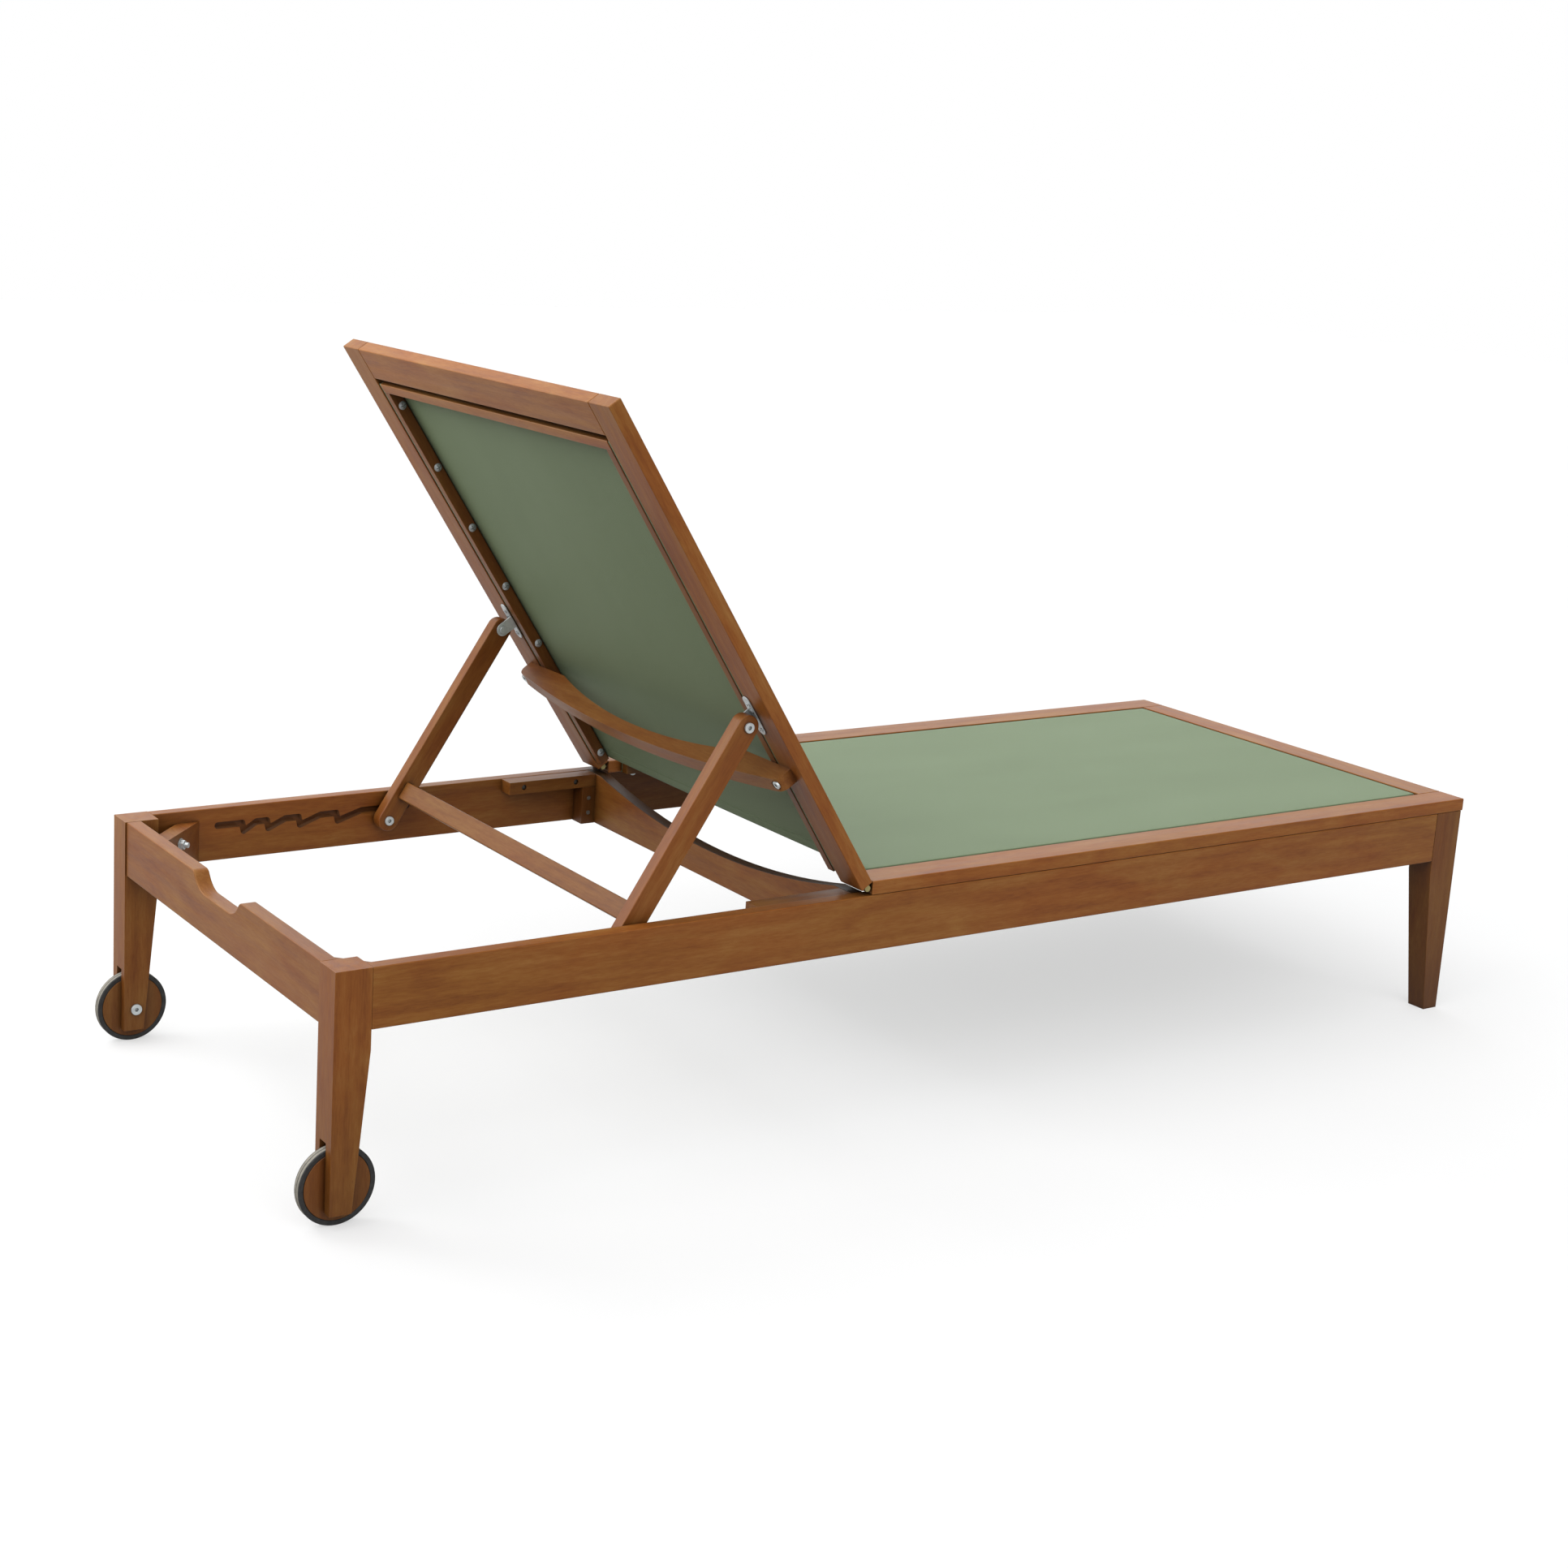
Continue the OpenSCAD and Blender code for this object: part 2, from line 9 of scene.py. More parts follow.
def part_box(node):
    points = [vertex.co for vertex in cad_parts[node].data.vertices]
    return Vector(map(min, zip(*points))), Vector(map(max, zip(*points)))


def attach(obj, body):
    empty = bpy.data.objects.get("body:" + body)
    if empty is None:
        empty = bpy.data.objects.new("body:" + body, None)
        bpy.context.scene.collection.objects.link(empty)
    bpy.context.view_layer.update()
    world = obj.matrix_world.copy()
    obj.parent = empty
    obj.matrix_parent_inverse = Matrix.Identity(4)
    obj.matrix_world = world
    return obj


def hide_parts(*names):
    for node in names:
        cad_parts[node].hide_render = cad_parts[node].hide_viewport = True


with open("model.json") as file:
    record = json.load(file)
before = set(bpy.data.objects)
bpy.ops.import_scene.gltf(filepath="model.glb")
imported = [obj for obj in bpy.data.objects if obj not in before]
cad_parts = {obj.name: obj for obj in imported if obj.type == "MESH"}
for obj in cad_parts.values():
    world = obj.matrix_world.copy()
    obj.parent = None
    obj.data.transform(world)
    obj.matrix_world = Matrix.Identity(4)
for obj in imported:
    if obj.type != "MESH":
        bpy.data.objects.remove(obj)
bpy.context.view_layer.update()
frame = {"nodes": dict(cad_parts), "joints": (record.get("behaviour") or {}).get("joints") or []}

# Looks of a reclining sun lounger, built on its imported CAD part. Metres, +Z up.
NODES = frame["nodes"]
JOINTS = {joint["name"]: joint for joint in frame["joints"]}
HINGE = Vector(JOINTS["back_hinge"]["pos_m"])
WHEEL_X, WHEEL_Y, WHEEL_Z = JOINTS["wheel_left_spin"]["pos_m"]
# Angles of the backrest and of its prop with the floor, as photographed.
BACK_TURN = math.radians(56.4)
PROP_TURN = math.radians(57.3)
MM = 0.001

# Colours, linear.
WOOD_DARK = (0.200, 0.056, 0.007)
WOOD_MID = (0.300, 0.104, 0.017)
WOOD_LIGHT = (0.390, 0.166, 0.040)
CLOTH = (0.205, 0.272, 0.150)
CLOTH_PALE = (0.268, 0.340, 0.208)
CLOTH_DEEP = (0.140, 0.190, 0.096)
STEEL = (0.74, 0.79, 0.80)
STEEL_DULL = (0.46, 0.49, 0.50)
TARNISH = (0.20, 0.19, 0.17)
TARNISH_DULL = (0.10, 0.09, 0.08)
BRASS = (0.42, 0.36, 0.15)
BRASS_DULL = (0.20, 0.16, 0.07)
RUBBER = (0.018, 0.018, 0.019)
TREAD_GREY = (0.36, 0.335, 0.28)
NYLON = (0.030, 0.030, 0.032)
FLOOR = (0.43, 0.43, 0.43)
FLOOR_PALE = (0.45, 0.45, 0.45)
FLOOR_GLOW = (0.53, 0.53, 0.53)
FLOOR_BOUNCE = (0.20, 0.19, 0.18)

# World strength away from the backdrop and at it, and the backdrop's direction.
SKY = 0.20
GLOW = 1.25
BACKDROP = (0.20, 0.93, 0.30)
# Far lamps: name, direction of the light, strength, angular width in degrees.
SUNS = [
    ("overhead", (0.25, 0.15, -1.0), 0.95, 85),
    ("from_head", (1.0, 0.25, -0.80), 1.05, 60),
    ("from_near_side", (0.10, 1.0, -0.50), 1.05, 60),
]
# Soft box behind the backrest's far top corner: place, aim, width and power.
SOFT_BOX = ((-1.70, 0.90, 1.45), (-0.50, 0.10, 0.90), 0.8, 10.0)

# Camera: place, then yaw, pitch and roll in degrees, and its lens.
CAMERA_PLACE = (-2.2058, -2.9452, 1.3294)
CAMERA_TURN = (33.034, -12.867, 3.178)
FOCAL_MM = 57.102
SENSOR_MM = 36.0
LENS_SHIFT = (0.0756, -0.0497)

# Cloth: half its width, the battens' inner edge, turn-down and lip at its foot.
HALF_CLOTH = 0.3198
BATTEN_EDGE = 0.305
DROP = 0.0180
LIP = 0.0032
FOLD_RADIUS = 0.0016
# Turn-down and lip in the slot below the backrest's top bar.
TOP_FOLD = (0.0105, 0.0080)
# Backrest cloth from free edge to top, and the gap at the seat's foot, from the hinge up.
BACK_FREE = 0.022
BACK_END = 0.7430
FOOT_GAP = 0.0055
# Cloth's middle layer above the hinge axis.
FACE_RISE = 0.0092
# Sag in the middle, how far its fading reaches from either end, and a faint ripple.
SEAT_SAG = 0.0016
BACK_SAG = 0.0014
END_REACH = 0.09
EDGE_REACH = 0.05
RIPPLE = 0.00003
CLOTH_THICK = 0.0010
YARNS = 224.0
# Hem and its lock stitches: thread, pitch and length of a stitch, depth of both faces.
HEM = 0.022
THREAD = 0.0005
STITCH_PITCH = 0.0042
STITCH_LONG = 0.0031
STITCH_FACES = (-0.00045, 0.00085)
FIVE_TURNS = [math.tau * n / 5 for n in range(5)]
# Half the tread's width and the radius where it starts.
TREAD_HALF = 0.0056
TREAD_RADIUS = 0.0506


# ---------------------------------------------------------------- shader graph


class Graph:
    """A material and the few node types that the patterns below are made of."""

    def __init__(self, name):
        self.material = bpy.data.materials.new(name)
        self.material.use_nodes = True
        self.tree = self.material.node_tree
        self.shader = self.tree.nodes["Principled BSDF"]

    def node(self, kind, **settings):
        made = self.tree.nodes.new(kind)
        for key, value in settings.items():
            setattr(made, key, value)
        return made

    def put(self, socket, value):
        """Links a socket to value, or sets it if value is a constant."""
        if isinstance(value, bpy.types.NodeSocket):
            self.tree.links.new(value, socket)
        else:
            socket.default_value = value

    def place(self, turn=(0, 0, 0), stretch=(1, 1, 1), shift=(0, 0, 0)):
        """Object coordinates, turned first and then stretched."""
        source = self.node("ShaderNodeTexCoord").outputs["Object"]
        turned = self.node("ShaderNodeMapping")
        self.put(turned.inputs["Vector"], source)
        turned.inputs["Rotation"].default_value = turn
        scaled = self.node("ShaderNodeMapping")
        self.put(scaled.inputs["Vector"], turned.outputs[0])
        scaled.inputs["Scale"].default_value = stretch
        scaled.inputs["Location"].default_value = shift
        return scaled.outputs[0]

    def noise(self, vector, scale, detail=3.0, rough=0.55, bend=0.0):
        made = self.node("ShaderNodeTexNoise")
        self.put(made.inputs["Vector"], vector)
        made.inputs["Scale"].default_value = scale
        made.inputs["Detail"].default_value = detail
        made.inputs["Roughness"].default_value = rough
        made.inputs["Distortion"].default_value = bend
        return made.outputs[0]

    def wave(self, vector, scale, direction, rings=False, bend=0.0, detail=2.0, grain=1.0):
        made = self.node("ShaderNodeTexWave", wave_type="RINGS" if rings else "BANDS")
        if rings:
            made.rings_direction = direction
        else:
            made.bands_direction = direction
        self.put(made.inputs["Vector"], vector)
        made.inputs["Scale"].default_value = scale
        made.inputs["Distortion"].default_value = bend
        made.inputs["Detail"].default_value = detail
        made.inputs["Detail Scale"].default_value = grain
        return made.outputs["Fac"]

    def sum(self, operation, a, b=0.0, clamp=False):
        made = self.node("ShaderNodeMath", operation=operation, use_clamp=clamp)
        self.put(made.inputs[0], a)
        self.put(made.inputs[1], b)
        return made.outputs[0]

    def span(self, value, low, high, new_low=0.0, new_high=1.0):
        made = self.node("ShaderNodeMapRange")
        self.put(made.inputs["Value"], value)
        for key, number in zip(("From Min", "From Max", "To Min", "To Max"),
                               (low, high, new_low, new_high)):
            made.inputs[key].default_value = number
        return made.outputs[0]

    def ramp(self, value, *stops):
        made = self.node("ShaderNodeValToRGB")
        self.put(made.inputs[0], value)
        bar = made.color_ramp.elements
        while len(bar) < len(stops):
            bar.new(0.5)
        for element, (place, colour) in zip(bar, stops):
            element.position = place
            element.color = (*colour, 1.0)
        return made.outputs[0]

    def mix(self, amount, a, b, blend="MIX"):
        made = self.node("ShaderNodeMix", data_type="RGBA", blend_type=blend)
        self.put(made.inputs[0], amount)
        for socket, value in ((made.inputs[6], a), (made.inputs[7], b)):
            if isinstance(value, tuple):
                value = (*value, 1.0)
            self.put(socket, value)
        return made.outputs[2]

    def crease(self, reach):
        """One in the open, falling to zero deep in a joint or corner."""
        made = self.node("ShaderNodeAmbientOcclusion", samples=6)
        made.inputs["Distance"].default_value = reach
        return made.outputs["AO"]

    def edge(self, reach):
        """Rises from zero to one over a convex or concave edge."""
        soft = self.node("ShaderNodeBevel", samples=4)
        soft.inputs["Radius"].default_value = reach
        true = self.node("ShaderNodeNewGeometry").outputs["True Normal"]
        dot = self.node("ShaderNodeVectorMath", operation="DOT_PRODUCT")
        self.put(dot.inputs[0], soft.outputs[0])
        self.put(dot.inputs[1], true)
        return self.span(dot.outputs["Value"], 0.995, 0.86)

    def relief(self, height, strength, depth):
        made = self.node("ShaderNodeBump")
        made.inputs["Strength"].default_value = strength
        made.inputs["Distance"].default_value = depth
        self.put(made.inputs["Height"], height)
        self.put(self.shader.inputs["Normal"], made.outputs[0])

    def finish(self, colour, rough, **fixed):
        self.put(self.shader.inputs["Base Color"], colour)
        self.put(self.shader.inputs["Roughness"], rough)
        for name, value in fixed.items():
            self.shader.inputs[name.replace("_", " ")].default_value = value
        return self.material


# ------------------------------------------------------------------- materials


def wood(name, turn, number, tone=1.0, upward_shade=1.0):
    """Oiled red-brown hardwood; turn lays the board's length along X.

    Painted shade darkens joints, corners and hollows, and faces that look up, such as the middle
    rail's scoop, as far as upward_shade says.
    """
    g = Graph(name)
    shift = (0.71 * number, 0.043 * (number % 5) + 0.06, 0.037 * (number % 7) + 0.05)
    long = g.place(turn, (0.045, 1.0, 1.0), shift)
    wide = g.place(turn, (0.30, 1.0, 1.0), shift)
    rings = g.wave(long, 17.0, "X", rings=True, bend=5.0, detail=3.0, grain=2.2)
    streak = g.noise(long, 80.0, 6.0, 0.62, 0.4)
    fibre = g.noise(g.place(turn, (0.12, 1.0, 1.0), shift), 420.0, 3.0, 0.6)
    blotch = g.noise(wide, 21.0, 4.0, 0.55, 0.8)
    cloud = g.noise(wide, 8.0, 2.0, 0.5)
    pores = g.noise(g.place(turn, (0.10, 1.0, 1.0), shift), 900.0, 1.0, 0.5)
    figure = g.sum("MULTIPLY", streak, 0.30)
    figure = g.sum("ADD", figure, g.sum("MULTIPLY", rings, 0.05))
    figure = g.sum("ADD", figure, g.sum("MULTIPLY", fibre, 0.28))
    figure = g.sum("ADD", figure, g.sum("MULTIPLY", blotch, 0.38))
    colour = g.ramp(figure, (0.34, WOOD_DARK), (0.51, WOOD_MID), (0.70, WOOD_LIGHT))
    warm = g.ramp(g.sum("ADD", g.sum("MULTIPLY", cloud, 0.6), g.sum("MULTIPLY", blotch, 0.4)),
                  (0.38, (1.05, 0.88, 0.78)), (0.50, (1.0, 1.0, 1.0)), (0.64, (1.0, 1.10, 0.95)))
    colour = g.mix(0.62, colour, warm, "MULTIPLY")
    pit = g.span(pores, 0.66, 0.74)
    colour = g.mix(g.sum("MULTIPLY", pit, 0.40), colour, WOOD_DARK)
    colour = g.mix(g.sum("MULTIPLY", g.edge(0.0022), 0.20), colour, WOOD_LIGHT)
    # Painted shade: darker in joints and corners and in deep hollows, from ambient occlusion.
    joint = g.span(g.crease(0.013), 0.0, 0.80, 0.20, 1.0)
    hollow = g.span(g.crease(0.28), 0.30, 0.92, 0.50, 1.0)
    shade = g.sum("MULTIPLY", joint, hollow)
    # Painted shade on faces that look up, down to upward_shade times the colour.
    if upward_shade < 1.0:
        faces = g.node("ShaderNodeSeparateXYZ")
        g.put(faces.inputs[0], g.node("ShaderNodeNewGeometry").outputs["Normal"])
        shade = g.sum("MULTIPLY", shade, g.span(faces.outputs["Z"], 0.45, 0.70, 1.0, upward_shade))
    shade = g.ramp(shade, (0.0, (0, 0, 0)), (1.0, (tone,) * 3))
    colour = g.mix(1.0, colour, shade, "MULTIPLY")
    rough = g.span(streak, 0.3, 0.7, 0.34, 0.46)
    height = g.sum("SUBTRACT", g.sum("MULTIPLY", fibre, 0.5), pit)
    g.relief(height, 0.22, 0.0003)
    return g.finish(colour, rough, Specular_IOR_Level=0.32)


def weave(name, turn):
    """Grey-green coated mesh cloth: a basket weave of round yarns, with painted shade in its
    creases and low hollows.
    """
    g = Graph(name)
    flat = g.place(turn)
    long = g.place(turn, (0.22, 1.0, 1.0))
    warp = g.wave(flat, YARNS, "X")
    weft = g.wave(flat, YARNS, "Y")
    column = g.sum("SUBTRACT", g.wave(flat, YARNS / 2, "X"), 0.5)
    row = g.sum("SUBTRACT", g.wave(flat, YARNS / 2, "Y"), 0.5)
    over = g.sum("GREATER_THAN", g.sum("MULTIPLY", column, row), 0.0)
    height = g.mix(over, warp, weft)
    band = g.noise(long, 11.0, 2.0, 0.5)
    cloud = g.noise(flat, 3.0, 2.0, 0.5)
    fleck = g.noise(flat, 900.0, 2.0, 0.6)
    tint = g.sum("ADD", g.sum("MULTIPLY", band, 0.55), g.sum("MULTIPLY", cloud, 0.45))
    colour = g.ramp(tint, (0.30, CLOTH_DEEP), (0.50, CLOTH), (0.72, CLOTH_PALE))
    colour = g.mix(0.22, CLOTH, colour)
    yarn = g.ramp(height, (0.0, (0.70, 0.70, 0.69)), (0.6, (1.04, 1.04, 1.03)))
    colour = g.mix(0.85, colour, yarn, "MULTIPLY")
    colour = g.mix(g.span(fleck, 0.58, 0.75, 0.0, 0.22), colour, CLOTH_PALE)
    # Painted shade: darker near the battens and in the hollow above the seat, from ambient
    # occlusion.
    near = g.span(g.crease(0.012), 0.0, 0.7, 0.45, 1.0)
    shade = g.sum("MULTIPLY", near, g.span(g.crease(0.40), 0.35, 0.95, 0.62, 1.0))
    shade = g.ramp(shade, (0.0, (0, 0, 0)), (1.0, (1, 1, 1)))
    colour = g.mix(1.0, colour, shade, "MULTIPLY")
    g.relief(height, 0.35, 0.0003)
    rough = g.span(height, 0.0, 1.0, 0.66, 0.50)
    return g.finish(colour, rough, Sheen_Weight=0.03, Sheen_Roughness=0.45,
                    Specular_IOR_Level=0.34)


def thread(name):
    """Slightly darker sewing thread, twisted."""
    g = Graph(name)
    twist = g.wave(g.place(), 900.0, "DIAGONAL")
    colour = g.ramp(twist, (0.0, tuple(0.6 * c for c in CLOTH_DEEP)), (1.0, CLOTH_DEEP))
    g.relief(twist, 0.4, 0.0002)
    return g.finish(colour, g.span(twist, 0.0, 1.0, 0.6, 0.5))


def metal(name, bright, dull, rough):
    """Plated metal with faint scratches and painted shade in its corners."""
    g = Graph(name)
    flat = g.place()
    cloud = g.noise(flat, 160.0, 3.0, 0.6)
    scratch = g.noise(g.place((0.4, 0.7, 0.2), (0.05, 1.0, 1.0)), 2600.0, 2.0, 0.6)
    colour = g.ramp(cloud, (0.30, dull), (0.60, bright))
    colour = g.mix(0.6, colour, bright)
    # Painted shade: near black deep in corners, from ambient occlusion.
    unshaded = g.span(g.crease(0.006), 0.25, 0.80, 0.0, 1.0)
    colour = g.mix(g.sum("SUBTRACT", 1.0, unshaded, True), colour, (0.03, 0.027, 0.022))
    g.relief(scratch, 0.12, 0.0001)
    return g.finish(colour, g.span(cloud, 0.3, 0.7, rough + 0.12, rough), Metallic=0.55)


def tyre(name, centre):
    """Black rubber ring with a pale grey-beige tread; centre is its middle across the bed."""
    g = Graph(name)
    source = g.node("ShaderNodeTexCoord").outputs["Object"]
    split = g.node("ShaderNodeSeparateXYZ")
    g.put(split.inputs[0], source)
    aside = g.sum("ABSOLUTE", g.sum("SUBTRACT", split.outputs["Y"], centre))
    reach = g.node("ShaderNodeVectorMath", operation="DISTANCE")
    ring = g.node("ShaderNodeCombineXYZ")
    g.put(ring.inputs["X"], split.outputs["X"])
    g.put(ring.inputs["Z"], split.outputs["Z"])
    g.put(reach.inputs[0], ring.outputs[0])
    reach.inputs[1].default_value = (WHEEL_X, 0.0, WHEEL_Z)
    worn = g.noise(g.place(), 120.0, 4.0, 0.65)
    # A pale grey-beige band over the tread, left black in its middle groove.
    outer = g.span(reach.outputs["Value"], TREAD_RADIUS, 0.0514)
    middle = g.span(aside, TREAD_HALF, 0.0045)
    groove = g.span(aside, 0.0004, 0.0009)
    pale_tread = g.sum("MULTIPLY", g.sum("MULTIPLY", outer, middle), groove)
    pale_tread = g.sum("MULTIPLY", pale_tread, g.span(worn, 0.25, 0.62, 0.55, 1.0))
    colour = g.mix(pale_tread, g.ramp(worn, (0.35, RUBBER), (0.75, (0.045, 0.044, 0.042))), TREAD_GREY)
    g.relief(g.sum("ADD", g.sum("MULTIPLY", worn, 0.5), groove), 0.3, 0.0004)
    return g.finish(colour, g.span(pale_tread, 0.0, 1.0, 0.52, 0.85), Specular_IOR_Level=0.4)


def nylon(name):
    """Dark moulded nylon with a fine sparked texture."""
    g = Graph(name)
    grain = g.noise(g.place(), 1800.0, 2.0, 0.5)
    colour = g.ramp(grain, (0.3, NYLON), (0.8, (0.07, 0.07, 0.072)))
    g.relief(grain, 0.25, 0.0002)
    return g.finish(colour, g.span(grain, 0.3, 0.7, 0.42, 0.60))


def floor_paint(name):
    """Pale matt floor, barely mottled, that throws little light back up.

    It looks white, half as bright in reflections, and is dark as a source of light.
    """
    g = Graph(name)
    cloud = g.noise(g.place(), 1.5, 3.0, 0.5)
    pale = g.ramp(cloud, (0.3, FLOOR), (0.7, FLOOR_PALE))
    ray = g.node("ShaderNodeLightPath")
    seen = g.sum("MULTIPLY", ray.outputs["Is Glossy Ray"], 0.55)
    seen = g.sum("ADD", ray.outputs["Is Camera Ray"], seen)
    g.put(g.shader.inputs["Emission Color"], g.mix(seen, (0.0, 0.0, 0.0), FLOOR_GLOW))
    g.shader.inputs["Emission Strength"].default_value = 1.0
    colour = g.mix(seen, FLOOR_BOUNCE, pale)
    return g.finish(colour, g.span(cloud, 0.3, 0.7, 0.75, 0.85), Specular_IOR_Level=0.0)


# ------------------------------------------------------------ CAD nodes' finish


def extremes(node, turn, slack):
    """Vertices that lie on at least two faces of the node's box, turned by turn about Y."""
    spin = Matrix.Rotation(turn, 3, "Y")
    spots = [spin @ vertex.co for vertex in node.data.vertices]
    low = [min(spot[k] for spot in spots) for k in range(3)]
    high = [max(spot[k] for spot in spots) for k in range(3)]

    def faces(spot):
        return sum(min(spot[k] - low[k], high[k] - spot[k]) < slack for k in range(3))

    return [index for index, spot in enumerate(spots) if faces(spot) >= 2]


def ease(node, width, turn=None, segments=3):
    """Rounds a CAD node's edges: all of them, or only its box's edges when turn is given."""
    weld = node.modifiers.new("weld", "WELD")
    weld.merge_threshold = 0.00002
    plane = node.modifiers.new("dissolve", "DECIMATE")
    plane.decimate_type = "DISSOLVE"
    plane.angle_limit = math.radians(0.15)
    round_off = node.modifiers.new("ease", "BEVEL")
    round_off.width = width
    round_off.segments = segments
    round_off.harden_normals = False
    round_off.miter_outer = "MITER_ARC"
    if turn is None:
        round_off.limit_method = "ANGLE"
        round_off.angle_limit = math.radians(32)
    else:
        group = node.vertex_groups.new(name="box_edges")
        group.add(extremes(node, turn, 0.0003), 1.0, "REPLACE")
        round_off.limit_method = "VGROUP"
        round_off.vertex_group = group.name
    shade = node.modifiers.new("shade", "WEIGHTED_NORMAL")
    shade.weight = 80
    shade.keep_sharp = False


def paint(node, material):
    """Puts one material on a CAD node."""
    for slot in node.material_slots:
        slot.link = "OBJECT"
        slot.material = material


# Turns that lay a board's length along X.
ALONG_X = (0.0, 0.0, 0.0)
ALONG_Y = (0.0, 0.0, -math.pi / 2)
ALONG_Z = (0.0, math.pi / 2, 0.0)
ALONG_BACK = (0.0, -BACK_TURN, 0.0)
ALONG_STRUT = (0.0, PROP_TURN, 0.0)
PAIR = ("left", "right")
# Board, way of the grain, tone, eased edge in millimetres, then the turn of its box where
# only the box's own edges are eased. Tone is the board's brightness, set board by board:
# lowered for painted shade on the middle blocks and ledgers, and raised for a painted
# highlight on the top bar and its top batten.
BOARDS = [
    ("side_rail", ALONG_X, 0.95, 1.6, 0.0),
    ("head_rail", ALONG_Y, 0.88, 1.8, None),
    ("mid_rail", ALONG_Y, 0.78, 1.2, None),
    ("foot_rail", ALONG_Y, 0.9, 1.5, None),
    ("head_leg", ALONG_Z, 0.90, 1.6, None),
    ("foot_leg", ALONG_Z, 0.62, 1.8, None),
    ("head_block", ALONG_Y, 0.8, 1.2, None),
    ("foot_block", ALONG_Y, 0.8, 1.2, None),
    # Painted shade: the middle blocks and ledgers are toned darker.
    ("mid_block", ALONG_Z, 0.6, 1.8, None),
    ("ledger", ALONG_X, 0.82, 1.2, None),
    ("seat_stile", ALONG_X, 1.05, 1.7, 0.0),
    ("seat_foot_bar", ALONG_Y, 1.05, 1.7, None),
    ("seat_batten", ALONG_X, 0.8, 1.0, 0.0),
    ("seat_foot_batten", ALONG_Y, 0.8, 1.0, None),
    ("back_stile", ALONG_BACK, 1.0, 1.7, BACK_TURN),
    # Painted highlight: the top bar and the top batten are toned lighter.
    ("back_top_bar", ALONG_Y, 1.16, 1.7, None),
    ("back_batten", ALONG_BACK, 0.75, 1.2, BACK_TURN),
    ("back_top_batten", ALONG_Y, 1.16, 1.2, None),
    ("back_cross", ALONG_Y, 0.90, 1.8, None),
    ("strut", ALONG_STRUT, 0.88, 1.8, None),
    ("prop_bar", ALONG_Y, 0.74, 2.0, None),
    ("wheel_disc", ALONG_Z, 0.86, 1.0, None),
]
# Painted shade: brightness left on the middle rail's faces that look up, such as its scoop's
# top.
SCOOP_SHADE = 0.22


def sides(name):
    """The nodes called name: the pair of them, or the one."""
    return [name] if name in NODES else [name + "_" + side for side in PAIR]


def finish_boards():
    """Gives every board its own grain and softened edges."""
    number = 0
    for board, grain, tone, eased, turn in BOARDS:
        for name in sides(board):
            number += 1
            upward_shade = SCOOP_SHADE if name == "mid_rail" else 1.0
            paint(NODES[name], wood("wood_" + name, grain, number, tone, upward_shade))
            ease(NODES[name], eased * MM, -turn if turn else turn)


def finish_metal():
    """Plates the bolts, screws and hinges, and softens their edges."""
    zinc = metal("zinc_plate", STEEL, STEEL_DULL, 0.30)
    dark = metal("tarnished_plate", TARNISH, TARNISH_DULL, 0.45)
    grey = metal("grey_plate", STEEL_DULL, TARNISH, 0.36)
    brass = metal("yellow_plate", BRASS, BRASS_DULL, 0.38)
    finishes = {"block_screws": dark, "back_screws": grey, "seat_screws": grey}
    for name in ("corner_bolts", "block_screws", "seat_bolts", "seat_screws", "cross_bolts",
                 "back_screws", "plate_screws", "pivot_bolts", "foot_pins"):
        paint(NODES[name], finishes.get(name, zinc))
        ease(NODES[name], 0.35 * MM, None, 2)
    for name in sides("strut_plate") + sides("axle_bolt"):
        paint(NODES[name], zinc)
        ease(NODES[name], 0.5 * MM, None, 2)
    for name in sides("hinge_seat") + sides("hinge_back"):
        paint(NODES[name], brass)
        ease(NODES[name], 0.3 * MM, None, 2)


def finish_wheels():
    """Tyres and bushes."""
    dark = nylon("bush_nylon")
    for side, way in zip(PAIR, (1, -1)):
        ring = NODES["wheel_tyre_" + side]
        paint(ring, tyre("tyre_" + side, way * WHEEL_Y))
        ease(ring, 1.6 * MM, None, 4)
        paint(NODES["wheel_bush_" + side], dark)


# ----------------------------------------------------------------------- cloth


def add_object(name, data, material=None):
    """A new object in the scene; a mesh gets smooth faces and its material."""
    if material:
        data.materials.append(material)
        for face in data.polygons:
            face.use_smooth = True
    made = bpy.data.objects.new(name, data)
    bpy.context.collection.objects.link(made)
    return made


def add_sheet(name, vertices, faces, material, thickness):
    """A new mesh object of vertices and faces, with a thickness."""
    mesh = bpy.data.meshes.new(name)
    mesh.from_pydata(vertices, [], faces)
    mesh.update()
    made = add_object(name, mesh, material)
    thick = made.modifiers.new("thickness", "SOLIDIFY")
    thick.thickness = thickness
    thick.offset = 0.0
    return made


def steps(low, high, count):
    """Evenly spaced places from low to high."""
    return [low + (high - low) * i / count for i in range(count + 1)]


def fold(distance, radius, drop):
    """(run, fall) of a sheet that turns down over a batten and out again at drop."""
    bend = min(distance / radius, math.pi / 2)
    straight = max(0.0, min(distance, drop) - radius * math.pi / 2)
    lip = max(0.0, distance - drop)
    return radius * math.sin(bend) + lip, radius * (1 - math.cos(bend)) + straight


def sag(u, v, length, deep, free):
    """How far the stretched cloth hangs at u along and v across."""
    if abs(v) >= BATTEN_EDGE:
        return 0.0
    across = 1 - (v / BATTEN_EDGE) ** 2
    near_end = 1 - math.exp(-(length - u) / END_REACH)
    edge = 1.0 - 0.25 * math.exp(-(u - free) / EDGE_REACH)
    ripple = RIPPLE * math.sin(u * 57.0 + v * 9.0) * abs(v) / BATTEN_EDGE
    return deep * across * near_end * edge + ripple * across


